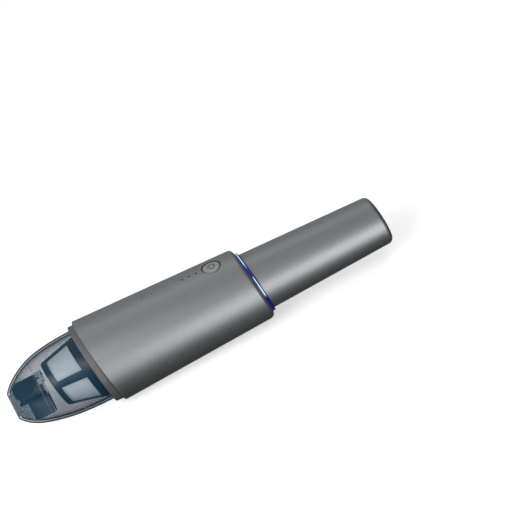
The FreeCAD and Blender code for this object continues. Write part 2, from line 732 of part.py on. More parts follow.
def nose_form(inset, rear_x, tip_x):
    """Rounded nose, as a skin over circles that close up towards the tip."""
    rings = []
    for i in range(CUP_STATIONS):
        along = math.sin(0.5 * math.pi * i / (CUP_STATIONS - 1))
        x = rear_x + (tip_x - rear_x) * along
        radius = nose_radius(x) - inset * nose_wall(x)
        circle = Part.makeCircle(radius, V(x, 0, nose_drop(x)), X_AXIS)
        rings.append(Part.Wire(circle))
    return Part.makeLoft(rings, True, False)


def cup_room(clearance):
    """The space inside the cup, less a clearance."""
    return nose_form(CUP_WALL + clearance, CUP_REAR_X + 2, CUP_TIP_X + 2.4 + clearance)


def mouth_hole():
    return rod(MOUTH_R, CUP_TIP_X - 2, CUP_TIP_X + 10, 0, nose_drop(CUP_TIP_X))


def dust_cup():
    """Clear ogive cup, open at the back and at the mouth in its tip."""
    cup = nose_form(0, CUP_REAR_X, CUP_TIP_X)
    return cup.cut(cup_room(0)).cut(mouth_hole())


def cup_collar():
    """Opaque ring around the cup's back, with the spigot that enters the body."""
    rim = between(rod(COLLAR_R, -20, 20), COLLAR_FRONT_X, COLLAR_RAKE, -0.2, FRONT_RAKE)
    rim = rim.makeChamfer(COLLAR_LIP, [end_edge(rim, -1)])
    spigot = rod(SPIGOT_R, -10, SPIGOT_END_X).common(behind(-1, FRONT_RAKE))
    spigot = spigot.cut(rest_flat(BODY_WALL))
    ring = rim.fuse(spigot).removeSplitter()
    ring = ring.cut(rod(CUP_R + FIT_GAP, -20, 20))
    half = LATCH_HALF_WIDTH + 0.8
    notch = block(LATCH_X - LATCH_PLAY, LATCH_X + LATCH_LENGTH + LATCH_PLAY, -half, half, 28, 31.2)
    return ring.cut(notch)


def cup_seal():
    """Rubber ring behind the cup's edge, inside the collar."""
    return tube(CUP_R, 28.2, CUP_REAR_X + FIT_GAP, CUP_REAR_X + 2.3)


def duct_form(inset, x0, x1):
    """Square section with rounded upper corners, long along X."""
    half = DUCT_HALF_WIDTH - inset
    top = DUCT_TOP_Z - inset
    bar = block(x0, x1, -half, half, DUCT_BOTTOM_Z + inset, top)
    corners = [edge for edge in bar.Edges if edge.BoundBox.ZMin > top - 0.1 and edge.BoundBox.XLength > 0.1]
    return bar.makeFillet(DUCT_CORNER_R - inset, corners)


def intake_duct():
    """Square duct from the mouth: a long roof, and full walls further in."""
    outer = duct_form(0, CUP_TIP_X, DUCT_REAR_X)
    open_front = block(-BIG, DUCT_FRONT_X, -BIG, BIG, -BIG, DUCT_SIDE_TOP_Z)
    sill = block(DUCT_FRONT_X, DUCT_FRONT_X + SILL_THICK, -BIG, BIG, -BIG, SILL_TOP_Z)
    duct = outer.cut(open_front).fuse(sill).removeSplitter()
    bore = duct_form(DUCT_WALL, -BIG, BIG)
    front_room = nose_form(CUP_WALL + DUCT_NOSE_GAP, CUP_REAR_X + 2, CUP_TIP_X + 4.5)
    return duct.cut(bore).cut(mouth_hole()).common(cup_room(0.15)).common(front_room)


def partition():
    """Clear wall across the cup that carries the duct's inner end."""
    disc = rod(BODY_FRONT_R, PARTITION_X, PARTITION_X + PARTITION_THICK).common(cup_room(0.15))
    return disc.cut(duct_form(-FIT_GAP, -BIG, BIG))


def flap_hinge():
    """Place of the flap's pin, in X and Z."""
    x = DUCT_REAR_X + MOVE_GAP + FLAP_THICK / 2 + FLAP_PIN_OFFSET
    return x, DUCT_TOP_Z + FLAP_PIN_RISE


def along_pin(radius, half_length):
    """Round bar on the line of the flap's pin."""
    x, z = flap_hinge()
    return Part.makeCylinder(radius, 2 * half_length, V(x, -half_length, z), Y_AXIS)


def duct_flap():
    """Flap that closes the duct when the air stops, so dust stays in the cup."""
    front = DUCT_REAR_X + MOVE_GAP
    sheet = duct_form(0.6, front, front + FLAP_THICK)
    pin_z = flap_hinge()[1]
    tab = block(front, front + FLAP_THICK, -FLAP_TAB_HALF_WIDTH, FLAP_TAB_HALF_WIDTH, 0, pin_z)
    knuckle = along_pin(FLAP_KNUCKLE_R, FLAP_TAB_HALF_WIDTH)
    flap = fuse_all([sheet, tab, knuckle])
    return flap.cut(along_pin(FLAP_PIN_R + RUNNING_FIT, BIG))


def flap_pin():
    return along_pin(FLAP_PIN_R, FLAP_TAB_HALF_WIDTH + MOVE_GAP + LUG_THICK)


def flap_lugs():
    """Two ears on the duct's roof in which the flap's pin sits."""
    x, z = flap_hinge()
    x0 = PARTITION_X + PARTITION_THICK + FIT_GAP
    inner = FLAP_TAB_HALF_WIDTH + MOVE_GAP
    lugs = []
    for y0 in (inner, -inner - LUG_THICK):
        y1 = y0 + LUG_THICK
        foot = block(x0, DUCT_REAR_X, y0, y1, DUCT_TOP_Z + PRESS_GAP, z + LUG_MARGIN)
        ear = block(DUCT_REAR_X - 1, x + LUG_MARGIN, y0, y1, z - LUG_MARGIN + 0.2, z + LUG_MARGIN)
        lugs.append(foot.fuse(ear).removeSplitter().cut(along_pin(FLAP_PIN_R + PRESS_GAP, BIG)))
    return group(lugs)


# ---------------------------------------------------------------- filter
def rib_wedge():
    """Wedge from the axis outwards whose angle is that of one rib, long along X."""
    half = math.radians(CAGE_RIB_ANGLE / 2)
    across, out = BIG * math.sin(half), BIG * math.cos(half)
    corners = [V(-BIG, 0, 0), V(-BIG, -across, out), V(-BIG, across, out), V(-BIG, 0, 0)]
    return Part.Face(Part.makePolygon(corners)).extrude(V(2 * BIG, 0, 0))


def filter_cage():
    """Tapered cage with four windows, a closed front and a neck into the body."""
    outer = slice_of_cone(cage_radius, 0, CAGE_FRONT_X, FRONT_RAKE, CAGE_REAR_X, FRONT_RAKE)
    outer = outer.makeFillet(CAGE_EDGE_ROUND, [end_edge(outer, -1)])
    hollow = slice_of_cone(cage_radius, CAGE_WALL, CAGE_FRONT_X + CAGE_WALL, FRONT_RAKE,
                           CAGE_REAR_X - 2.0, FRONT_RAKE)
    neck_tube = rod(NECK_R, -8, NECK_END_X).common(behind(CAGE_REAR_X - 1.5, FRONT_RAKE))
    cage = outer.cut(hollow).fuse(neck_tube).removeSplitter()
    cage = cage.cut(rod(NECK_R - NECK_WALL, -9, NECK_END_X + 1))
    open_span = between(rod(BODY_FRONT_R, -70, 10), CAGE_FRONT_X + CAGE_RIM, FRONT_RAKE,
                        CAGE_REAR_X - CAGE_REAR_RIM, FRONT_RAKE)
    return cage.cut(cut_all(open_span, around_axis(rib_wedge(), CAGE_RIBS, 90 - CAGE_RIB_START)))


def filter_mesh():
    """Fine mesh just inside the cage's windows, as a thin closed sleeve."""
    inset = CAGE_WALL + 0.05
    outer = slice_of_cone(cage_radius, inset, CAGE_FRONT_X + CAGE_WALL + 0.05, FRONT_RAKE,
                          CAGE_REAR_X - 2.05, FRONT_RAKE)
    inner = cone(cage_radius, inset + 0.4, -60, 10)
    return outer.cut(inner)


def filter_core():
    """Pleated fine filter: a star-folded ring around the cage's inner space."""
    front, rear = CAGE_FRONT_X + CAGE_WALL + 0.2, CAGE_REAR_X - 2.2
    x0, x1 = front - 6, rear + 6
    points = []
    for i in range(2 * PLEATS):
        radius = PLEAT_OUTER_R if i % 2 else PLEAT_INNER_R
        angle = math.pi * i / PLEATS
        points.append(V(x0, radius * math.cos(angle), radius * math.sin(angle)))
    star = Part.Face(Part.makePolygon(points + [points[0]])).extrude(V(x1 - x0, 0, 0))
    return between(star.cut(rod(PLEAT_BORE_R, x0 - 1, x1 + 1)), front, FRONT_RAKE, rear, FRONT_RAKE)


def filter_gasket():
    """Rubber ring on the filter's neck, against the body's socket."""
    x0 = NECK_END_X - 3.4
    return tube(NECK_R + 0.25, NECK_R + PRESS_GAP, x0, x0 + 1.8)


# ---------------------------------------------------------------- assembly
def build_body():
    add("body_shell", body_shell())
    add("bulkhead", bulkhead())
    add("motor_frame", motor_frame())
    add("release_guide", release_guide())
    add("board_frame", board_frame())
    add("neck", neck())
    add("neck_screws", neck_screws())
    add("light_ring", light_ring())
    add("ring_board", ring_board())
    add("ring_leds", ring_leds())


def build_motor():
    add("fan_shroud", fan_shroud())
    add("stator_plate", stator_plate())
    add("impeller", impeller())
    add("motor_can", motor_can())
    add("motor_end_plate", motor_end_plate())
    add("motor_terminals", motor_terminals())
    add("motor_magnets", motor_magnets())
    add("motor_bushes", motor_bushes())
    add("motor_shaft", motor_shaft())
    add("motor_rotor", motor_rotor())
    add("motor_sleeve", motor_sleeve())
    add("motor_leads", motor_leads())


def build_controls():
    add("control_board", control_board())
    add("board_screws", board_screws())
    add("tact_switch", tact_switch())
    add("controller_chips", controller_chips())
    add("lamp_leds", lamp_leds())
    add("lamp_lenses", lamp_lenses())
    add("power_button", power_button())
    add("power_bezel", power_bezel())
    add("release_button", release_button())
    add("release_spring", release_spring())


def build_handle():
    add("handle_shell", handle_shell())
    add("end_cap", end_cap())
    add("charge_port", charge_port())
    add("charge_board", charge_board())
    add("battery_cells", battery_cells())
    add("cell_holders", cell_holders())
    add("nickel_strips", nickel_strips())
    add("battery_leads", battery_leads())


def build_cup():
    add("dust_cup", dust_cup())
    add("cup_collar", cup_collar())
    add("cup_seal", cup_seal())
    add("intake_duct", intake_duct())
    add("partition", partition())
    add("duct_flap", duct_flap())
    add("flap_pin", flap_pin())
    add("flap_lugs", flap_lugs())
    add("filter_cage", filter_cage())
    add("filter_mesh", filter_mesh())
    add("filter_core", filter_core())
    add("filter_gasket", filter_gasket())


def export_all():
    """Put the origin under the middle of the tool's bounding box and write each node."""
    os.makedirs("parts", exist_ok=True)
    whole = FreeCAD.BoundBox()
    for shape in PARTS.values():
        whole.add(shape.optimalBoundingBox(False, False))
    shift = V(-whole.Center.x, -whole.Center.y, -whole.ZMin)
    print("moved by", round(shift.x, 3), round(shift.y, 3), round(shift.z, 3))
    for name, shape in PARTS.items():
        shape.translate(shift)
        shape.exportStep("parts/" + name + ".step")


build_body()
build_motor()
build_controls()
build_handle()
build_cup()
export_all()
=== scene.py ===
import bpy
import json
import math
from mathutils import Matrix, Vector


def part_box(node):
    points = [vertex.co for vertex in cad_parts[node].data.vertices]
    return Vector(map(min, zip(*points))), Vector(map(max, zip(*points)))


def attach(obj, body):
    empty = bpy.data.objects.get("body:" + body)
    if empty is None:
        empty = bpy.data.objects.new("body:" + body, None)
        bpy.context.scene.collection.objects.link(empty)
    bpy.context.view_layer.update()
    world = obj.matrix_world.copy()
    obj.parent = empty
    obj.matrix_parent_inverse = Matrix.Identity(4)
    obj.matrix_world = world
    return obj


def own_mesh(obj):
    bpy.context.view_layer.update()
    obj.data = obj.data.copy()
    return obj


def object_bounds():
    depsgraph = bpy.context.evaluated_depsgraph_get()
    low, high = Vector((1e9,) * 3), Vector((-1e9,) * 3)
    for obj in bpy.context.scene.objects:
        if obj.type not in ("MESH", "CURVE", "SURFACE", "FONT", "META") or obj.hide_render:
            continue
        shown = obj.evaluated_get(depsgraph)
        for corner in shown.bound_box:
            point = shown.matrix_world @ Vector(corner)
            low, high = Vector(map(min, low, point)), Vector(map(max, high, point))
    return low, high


# Handheld vacuum, metres.  The CAD nodes keep their shapes; this script gives them
# their materials, adds the printed power symbol, and sets the studio.

MM = 0.001

# ---------------------------------------------------------------- places from the frame
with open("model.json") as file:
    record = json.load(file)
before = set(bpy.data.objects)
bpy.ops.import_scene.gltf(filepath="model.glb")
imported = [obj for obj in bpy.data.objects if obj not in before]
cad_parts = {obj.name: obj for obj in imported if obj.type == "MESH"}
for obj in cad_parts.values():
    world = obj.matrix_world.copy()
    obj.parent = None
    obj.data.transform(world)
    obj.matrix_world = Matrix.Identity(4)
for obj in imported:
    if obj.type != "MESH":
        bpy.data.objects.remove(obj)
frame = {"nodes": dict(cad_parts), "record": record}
cad_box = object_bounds()

handle_low, handle_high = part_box("handle_shell")
AXIS_Z = (handle_low[2] + handle_high[2]) / 2       # height of the tool's long axis
TIP_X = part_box("dust_cup")[0][0]                    # the nozzle's end
key_low, key_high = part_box("power_button")
KEY_X = (key_low[0] + key_high[0]) / 2
KEY_TOP = key_high[2] - AXIS_Z
ring_low, ring_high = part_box("light_ring")
RING_RADIUS = (ring_high[2] - ring_low[2]) / 2
RING_RAKE = 0.175       # forward lean of the light ring, per metre of height
RING_WIDTH = 2.15 * MM
RING_FRONT = ring_high[0] - RING_RAKE * RING_RADIUS - RING_WIDTH

# ---------------------------------------------------------------- camera
VIEW_TURN = -10.05      # degrees round Z from looking straight along +Y
VIEW_RISE = 35.07       # degrees above the horizon
VIEW_ROLL = -20.89      # degrees, clockwise tilt of the picture
VIEW_DISTANCE = 1.2016
LOOK_ALONG = 0.2114     # from the tip along the axis to the point in the picture's middle
LOOK_ABOVE = 0.01972    # above the axis
LENS = 112.06           # millimetres, as is the sensor's width
SENSOR_WIDTH = 36.0

# ---------------------------------------------------------------- studio sizes
# name, azimuth and elevation in degrees, distance, width and height in metres, power in watts
SOFTBOXES = [
    ("front_soft", 24, -2, 1.2, 0.85, 0.9, 6.9),
    ("far_soft", 170, 62, 1.3, 1.3, 0.5, 1.1),
    ("nose_soft", -47, 38, 0.9, 0.55, 0.45, 5.0),
]
LAMP_TARGET_X = 0.01
FLOOR_HALF = 4.0
FLOOR_DROP = 0.2 * MM   # keeps the floor clear of the tool's lowest face
FLOOR_DARK = (0.90, 0.90, 0.90)
FLOOR_LIGHT = (0.92, 0.92, 0.92)
FLOOR_CELLS = 3.0       # noise cells per metre
FLOOR_ROUGH = 0.9
FLOOR_GLOW = 0.5
# brightness of the surroundings, from straight down (0) to straight up (1)
SKY_GREYS = [(0.0, 0.03), (0.3, 0.06), (0.5, 0.40), (0.75, 0.43), (1.0, 0.46)]
# share of that brightness that is left, by how much a direction leans towards the handle's end
HANDLE_SIDE_GREYS = [(0.45, 1.0), (0.8, 0.08)]

# ---------------------------------------------------------------- colours (linear)
BODY_DARK = (0.280, 0.290, 0.297)
BODY_LIGHT = (0.328, 0.340, 0.348)
SYMBOL_GREY = (0.06, 0.06, 0.062)
SYMBOL_ROUGH = 0.5
# inlet duct: painted shade on its roof and painted light on its lower sides, not two real colours
DUCT_ROOF_SHADED = (0.003, 0.008, 0.013)
DUCT_SIDE_LIT = (0.085, 0.125, 0.160)
CAGE_DARK = (0.004, 0.013, 0.024)
CAGE_LIGHT = (0.010, 0.028, 0.045)
CAGE_ROUGH = 0.35
MESH_PALE = (0.84, 0.92, 0.94)
MESH_DEEP = (0.60, 0.69, 0.73)
FLAP_DARK = (0.004, 0.008, 0.014)
# painted light: the top of the near-black rubber flap is made pale
FLAP_TOP_LIT = (0.44, 0.51, 0.55)
CUP_TINT = (0.014, 0.056, 0.100)
PARTITION_TINT = (0.30, 0.38, 0.43)
RING_DEEP = (0.001, 0.006, 0.10)
RING_BLUE = (0.02, 0.14, 0.65)
RING_WHITE = (0.55, 0.90, 1.0)

# ---------------------------------------------------------------- finishes
# noise sizes are in cells per metre, roughness pairs are the ends of its spread
CLOUD_CELLS = 60.0
GRAIN_CELLS = 900.0
METAL_CELLS = 1500.0
PAPER_CELLS = 2500.0
CLOUD_DETAIL = 3.0
GRAIN_DETAIL = 5.0
CLOUD_FROM, CLOUD_TO = 0.3, 0.7     # noise levels of the dark and the light tone
DARK_SHARE = 0.85       # dark tone as a share of the light one
ROUGH_SPREAD = 0.05
GRAIN_BUMP = 0.15
PAPER_BUMP = 0.3
GRAIN_DEPTH = 0.05 * MM

FLAKE_CELLS = 3500.0
FLAKE_BUMP = 0.05
FLAKE_DEPTH = 0.02 * MM
SATIN_CELLS = 25.0
SATIN_ROUGH = (0.43, 0.49)
SATIN_METALLIC = 0.92

GRADED_ROUGH = (0.3, 0.4)
GRADED_BUMP = 0.1
DUCT_SHADE = (-2 * MM, 4 * MM)      # heights above the axis where the painted shade and light start and end
FLAP_SHADE = (2 * MM, 5 * MM)

WEAVE_SCALE = 480.0     # of the wave texture
WEAVE_PALE_FROM = 0.6
WEAVE_BUMP = 0.4
WEAVE_DEPTH = 0.1 * MM
WEAVE_ROUGH = 0.7

PARTITION_CELLS = 120.0
PARTITION_SHARE = 0.9
PARTITION_ROUGH = (0.12, 0.2)
PARTITION_OPACITY = 0.12

# slots with one grained colour: colour, roughness, then metallic, grain and bump where needed
PLAIN_LOOKS = {
    "key_grey": ((0.36, 0.37, 0.365), 0.42, 0.3),
    "end_grey": (BODY_DARK, 0.5),
    "collar_grey": ((0.140, 0.143, 0.142), 0.4, 0.3),
    "black_plastic": ((0.012, 0.012, 0.014), 0.5),
    "lamp_clear": ((0.01, 0.01, 0.012), 0.25),
    "steel": ((0.55, 0.55, 0.56), 0.3, 1.0, METAL_CELLS),
    "motor_steel": ((0.45, 0.46, 0.48), 0.35, 1.0, METAL_CELLS),
    "magnet": ((0.03, 0.03, 0.03), 0.7),
    "winding": ((0.45, 0.16, 0.06), 0.35, 0.9, METAL_CELLS),
    "bronze": ((0.45, 0.28, 0.11), 0.4, 1.0),
    "nickel": ((0.60, 0.59, 0.56), 0.25, 1.0),
    "cell_wrap": ((0.02, 0.10, 0.22), 0.3),
    "led": ((0.75, 0.78, 0.80), 0.2),
    "board_green": ((0.01, 0.07, 0.03), 0.35),
    "chip_black": ((0.02, 0.02, 0.02), 0.45),
    "black_rubber": ((0.015, 0.015, 0.015), 0.8),
    "red_wire": ((0.35, 0.01, 0.01), 0.45),
    "fan_white": ((0.65, 0.65, 0.62), 0.5),
    "pleat_white": ((0.75, 0.78, 0.78), 0.8, 0.0, PAPER_CELLS, PAPER_BUMP),
}

# nodes that look like another slot than their own: the flush key matches the body round
# it, and the ears of the flap's hinge take the painted light of the flap's pale top
OWN_LOOKS = {"release_button": "grey_metal", "flap_lugs": "flap_rubber"}

# ---------------------------------------------------------------- clear cup
# opacity of one surface, by how far it turns away from the eye
CUP_EDGE_GREYS = [(0.0, 0.26), (0.4, 0.29), (0.6, 0.40), (0.7, 0.60), (0.8, 1.0)]
TIP_OPACITY = 0.46      # least opacity at the tip
CLEAR_OPACITY = 0.26
TIP_SHADE = (8 * MM, 20 * MM)       # distances from the tip where the change starts and ends
CUP_CELLS = 40.0
CUP_ROUGH = (0.10, 0.18)
CUP_IOR = 1.25
CUP_SHINE = 0.35

# ---------------------------------------------------------------- light ring
RING_GLOW = 1.1
RING_ROUGH = 0.15
RING_CORE_GREYS = [(0.30, 0.0), (0.42, 1.0), (0.50, 1.0), (0.62, 0.0)]   # across its width
# light round the ring: angle from +Y over the top, and colour there
RING_STRETCHES = [
    (-180, RING_DEEP), (-115, RING_DEEP), (-95, RING_WHITE), (-60, RING_BLUE), (-40, RING_DEEP),
    (20, RING_DEEP), (40, RING_BLUE), (66, RING_WHITE), (104, RING_WHITE), (116, RING_BLUE),
    (121, RING_DEEP), (133, RING_DEEP), (139, RING_WHITE), (170, RING_WHITE), (177, RING_DEEP),
]

# ---------------------------------------------------------------- power symbol
SYMBOL_RADIUS = 2.7 * MM
SYMBOL_LINE = 0.6 * MM
SYMBOL_BAR = (-3.5 * MM, -0.8 * MM)     # its two ends, from the circle's middle
ARC_GAP = 40            # degrees left open on each side of the bar
ARC_STEPS = 32
PRINT_LIFT = 0.06 * MM
PRINT_THICK = 0.04 * MM


# ---------------------------------------------------------------- material helpers
def start_material(name):
    """A new node material with its tree, shader and object coordinates."""
    material = bpy.data.materials.new(name)
    material.use_nodes = True
    tree = material.node_tree
    place = tree.nodes.new("ShaderNodeTexCoord")
    return material, tree, tree.nodes["Principled BSDF"], place.outputs["Object"]


def add_noise(tree, place, scale, detail=CLOUD_DETAIL):
    """Noise of a given number of cells per metre."""
    noise = tree.nodes.new("ShaderNodeTexNoise")
    noise.inputs["Scale"].default_value = scale
    noise.inputs["Detail"].default_value = detail
    tree.links.new(place, noise.inputs["Vector"])
    return noise.outputs["Fac"]


def add_ramp(tree, factor, stops):
    """Colour ramp with stops of (position, colour)."""
    ramp = tree.nodes.new("ShaderNodeValToRGB")
    tree.links.new(factor, ramp.inputs["Fac"])
    elements = ramp.color_ramp.elements
    while len(elements) < len(stops):
        elements.new(0.5)
    for element, (position, colour) in zip(elements, stops):
        element.position = position
        element.color = (*colour, 1.0)
    return ramp.outputs["Color"]


def add_grey_ramp(tree, factor, stops):
    """Ramp with stops of (position, value)."""
    return add_ramp(tree, factor, [(position, (value,) * 3) for position, value in stops])


def add_range(tree, value, low, high, start=0.0, end=1.0):
    """Maps start..end to low..high."""
    node = tree.nodes.new("ShaderNodeMapRange")
    node.inputs["From Min"].default_value = start
    node.inputs["From Max"].default_value = end
    node.inputs["To Min"].default_value = low
    node.inputs["To Max"].default_value = high
    tree.links.new(value, node.inputs["Value"])
    return node.outputs["Result"]


def add_split(tree, vector):
    """The X, Y and Z outputs of a vector."""
    split = tree.nodes.new("ShaderNodeSeparateXYZ")
    tree.links.new(vector, split.inputs["Vector"])
    return split.outputs


def add_math(tree, operation, first, second):
    """Math node; each input is a number or another node's output."""
    node = tree.nodes.new("ShaderNodeMath")
    node.operation = operation
    for socket, value in zip(node.inputs, (first, second)):
        if isinstance(value, (int, float)):
            socket.default_value = value
        else:
            tree.links.new(value, socket)
    return node.outputs["Value"]


def add_mix(tree, kind, factor, first, second):
    """Colour mix; factor is a number or another node's output, as is the first colour."""
    mix = tree.nodes.new("ShaderNodeMix")
    mix.data_type = "RGBA"
    mix.blend_type = kind
    for name, value in (("Factor", factor), ("A", first), ("B", second)):
        if isinstance(value, (float, tuple)):
            mix.inputs[name].default_value = value
        else:
            tree.links.new(value, mix.inputs[name])
    return mix.outputs["Result"]


def add_bump(tree, shader, height, strength, distance):
    bump = tree.nodes.new("ShaderNodeBump")
    bump.inputs["Strength"].default_value = strength
    bump.inputs["Distance"].default_value = distance
    tree.links.new(height, bump.inputs["Height"])
    tree.links.new(bump.outputs["Normal"], shader.inputs["Normal"])


def add_cloud(tree, shader, place, cells, dark, light):
    """Colour that drifts between two tones; returns the noise behind it."""
    cloud = add_noise(tree, place, cells)
    colour = add_ramp(tree, cloud, [(CLOUD_FROM, dark), (CLOUD_TO, light)])
    tree.links.new(colour, shader.inputs["Base Color"])
    return cloud


def add_roughness(tree, shader, noise, low, high):
    tree.links.new(add_range(tree, noise, low, high), shader.inputs["Roughness"])


def darker(colour, share):
    return tuple(value * share for value in colour)


def grained(name, dark, light, rough, metallic=0.0, grain=GRAIN_CELLS, bump=GRAIN_BUMP):
    """Moulded or painted surface: clouds in its colour, fine grain in roughness and height."""
    material, tree, shader, place = start_material(name)
    add_cloud(tree, shader, place, CLOUD_CELLS, dark, light)
    fine = add_noise(tree, place, grain, GRAIN_DETAIL)
    add_roughness(tree, shader, fine, rough - ROUGH_SPREAD, rough + ROUGH_SPREAD)
    add_bump(tree, shader, fine, bump, GRAIN_DEPTH)
    shader.inputs["Metallic"].default_value = metallic
    return material


def plain_pair(name, colour, rough, metallic=0.0, grain=GRAIN_CELLS, bump=GRAIN_BUMP):
    """Grained surface whose dark tone is worked out from its light one."""
    return grained(name, darker(colour, DARK_SHARE), colour, rough, metallic, grain, bump)


# ---------------------------------------------------------------- special materials
def body_metal():
    """Satin grey finish with a very fine sparkle."""
    material, tree, shader, place = start_material("body_metal")
    flake = tree.nodes.new("ShaderNodeTexVoronoi")
    flake.inputs["Scale"].default_value = FLAKE_CELLS
    tree.links.new(place, flake.inputs["Vector"])
    grey = tree.nodes.new("ShaderNodeSeparateColor")
    tree.links.new(flake.outputs["Color"], grey.inputs["Color"])
    colour = add_ramp(tree, grey.outputs["Red"], [(0.0, BODY_DARK), (1.0, BODY_LIGHT)])
    tree.links.new(colour, shader.inputs["Base Color"])
    add_roughness(tree, shader, add_noise(tree, place, SATIN_CELLS), *SATIN_ROUGH)
    add_bump(tree, shader, grey.outputs["Green"], FLAKE_BUMP, FLAKE_DEPTH)
    shader.inputs["Metallic"].default_value = SATIN_METALLIC
    return material


def clear_cup():
    """Smoky clear plastic, darker where it is seen edge-on, and more opaque and darker towards its
    tip.
    """
    material, tree, shader, place = start_material("clear_cup")
    facing = tree.nodes.new("ShaderNodeLayerWeight")
    edge = add_grey_ramp(tree, facing.outputs["Facing"], CUP_EDGE_GREYS)
    along = add_split(tree, place)["X"]
    start, end = TIP_SHADE
    tip = add_range(tree, along, TIP_OPACITY, CLEAR_OPACITY, TIP_X + start, TIP_X + end)
    tree.links.new(add_math(tree, "MAXIMUM", edge, tip), shader.inputs["Alpha"])
    haze = add_cloud(tree, shader, place, CUP_CELLS, darker(CUP_TINT, DARK_SHARE), CUP_TINT)
    add_roughness(tree, shader, haze, *CUP_ROUGH)
    shader.inputs["IOR"].default_value = CUP_IOR
    shader.inputs["Specular IOR Level"].default_value = CUP_SHINE
    return material


def clear_partition():
    """Thin clear wall, so light that it hardly hides what is behind it."""
    material, tree, shader, place = start_material("clear_partition")
    dark = darker(PARTITION_TINT, PARTITION_SHARE)
    haze = add_cloud(tree, shader, place, PARTITION_CELLS, dark, PARTITION_TINT)
    add_roughness(tree, shader, haze, *PARTITION_ROUGH)
    shader.inputs["Alpha"].default_value = PARTITION_OPACITY
    return material


def height_shaded(name, low_colour, high_colour, shade):
    """Moulded plastic whose colour changes between two heights above the tool's axis; the change is
    painted shade and painted light, not the plastic's own colour.
    """
    material, tree, shader, place = start_material(name)
    height = add_split(tree, place)["Z"]
    level = add_range(tree, height, 0.0, 1.0, AXIS_Z + shade[0], AXIS_Z + shade[1])
    colour = add_ramp(tree, level, [(0.0, low_colour), (1.0, high_colour)])
    tree.links.new(colour, shader.inputs["Base Color"])
    fine = add_noise(tree, place, GRAIN_CELLS, GRAIN_DETAIL)
    add_roughness(tree, shader, fine, *GRADED_ROUGH)
    add_bump(tree, shader, fine, GRADED_BUMP, GRAIN_DEPTH)
    return material


def woven_mesh():
    """Fine weave: two crossing waves of threads."""
    material, tree, shader, place = start_material("woven_mesh")
    heights = []
    for run in ("X", "DIAGONAL"):
        wave = tree.nodes.new("ShaderNodeTexWave")
        wave.bands_direction = run
        wave.inputs["Scale"].default_value = WEAVE_SCALE
        tree.links.new(place, wave.inputs["Vector"])
        heights.append(wave.outputs["Fac"])
    weave = add_math(tree, "MULTIPLY", *heights)
    colour = add_ramp(tree, weave, [(0.0, MESH_DEEP), (WEAVE_PALE_FROM, MESH_PALE)])
    tree.links.new(colour, shader.inputs["Base Color"])
    add_bump(tree, shader, weave, WEAVE_BUMP, WEAVE_DEPTH)
    shader.inputs["Roughness"].default_value = WEAVE_ROUGH
    return material


def lit_ring():
    """Blue light guide with a bright line along the middle of the lit stretches."""
    material, tree, shader, place = start_material("lit_ring")
    place_x, place_y, place_z = add_split(tree, place)
    height = add_math(tree, "SUBTRACT", place_z, AXIS_Z)
    angle = add_math(tree, "ARCTAN2", height, place_y)
    turn = add_range(tree, angle, 0.0, 1.0, -math.pi, math.pi)
    stops = [((degrees + 180) / 360, colour) for degrees, colour in RING_STRETCHES]
    stretch = add_ramp(tree, turn, stops)
    upright = add_math(tree, "ADD", place_x, add_math(tree, "MULTIPLY", height, RING_RAKE))
    across = add_math(tree, "DIVIDE", add_math(tree, "SUBTRACT", upright, RING_FRONT), RING_WIDTH)
    core = add_grey_ramp(tree, across, RING_CORE_GREYS)
    glow = add_mix(tree, "MIX", core, (*RING_DEEP, 1.0), stretch)
    tree.links.new(glow, shader.inputs["Emission Color"])
    tree.links.new(glow, shader.inputs["Base Color"])
    shader.inputs["Emission Strength"].default_value = RING_GLOW
    shader.inputs["Roughness"].default_value = RING_ROUGH
    return material


# ---------------------------------------------------------------- materials by slot
def slot_materials():
    """One material for each material slot of the record."""
    materials = {slot: plain_pair(slot, *look) for slot, look in PLAIN_LOOKS.items()}
    materials["grey_metal"] = body_metal()
    # painted shade on the duct's roof, painted light on its lower sides
    materials["duct_teal"] = height_shaded("duct_teal", DUCT_SIDE_LIT, DUCT_ROOF_SHADED, DUCT_SHADE)
    # painted light on the flap's top, over its own near-black rubber
    materials["flap_rubber"] = height_shaded("flap_rubber", FLAP_DARK, FLAP_TOP_LIT, FLAP_SHADE)
    materials["cage_navy"] = grained("cage_navy", CAGE_DARK, CAGE_LIGHT, CAGE_ROUGH)
    materials["smoked_clear"] = clear_cup()
    materials["partition_clear"] = clear_partition()
    materials["blue_light"] = lit_ring()
    materials["pale_mesh"] = woven_mesh()
    return materials


def paint_nodes(materials):
    """Gives every CAD node the material of its slot, or of its own look."""
    for part in frame["record"]["subparts"]:
        node = frame["nodes"][part["node"]]
        material = materials[OWN_LOOKS.get(part["node"], part["material_slot"])]
        if not node.material_slots:
            node.data.materials.append(material)
        for slot in node.material_slots:
            slot.material = material


# ---------------------------------------------------------------- new objects
def add_object(name, data):
    """A new object in the scene that holds this data."""
    item = bpy.data.objects.new(name, data)
    bpy.context.collection.objects.link(item)
    return item


# ---------------------------------------------------------------- printed symbol
def on_key(x, y):
    """A point just above the power key's curved top."""
    return Vector((KEY_X + x, y, AXIS_Z + math.sqrt(KEY_TOP * KEY_TOP - y * y) + PRINT_LIFT))


def printed_line(name, points, material):
    """Flat printed line through points given in the key's plane."""
    vertices = []
    faces = []
    for i, (x, y) in enumerate(points):
        before = Vector(points[max(i - 1, 0)])
        after = Vector(points[min(i + 1, len(points) - 1)])
        along = (after - before).normalized()
        side = Vector((-along.y, along.x)) * SYMBOL_LINE / 2
        vertices.append(on_key(x + side.x, y + side.y))
        vertices.append(on_key(x - side.x, y - side.y))
        if i:
            faces.append((2 * i - 2, 2 * i - 1, 2 * i + 1, 2 * i))
    mesh = bpy.data.meshes.new(name)
    mesh.from_pydata(vertices, [], faces)
    mesh.materials.append(material)
    line = add_object(name, mesh)
    thick = line.modifiers.new("print", "SOLIDIFY")
    thick.thickness = PRINT_THICK
    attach(line, "power_key")


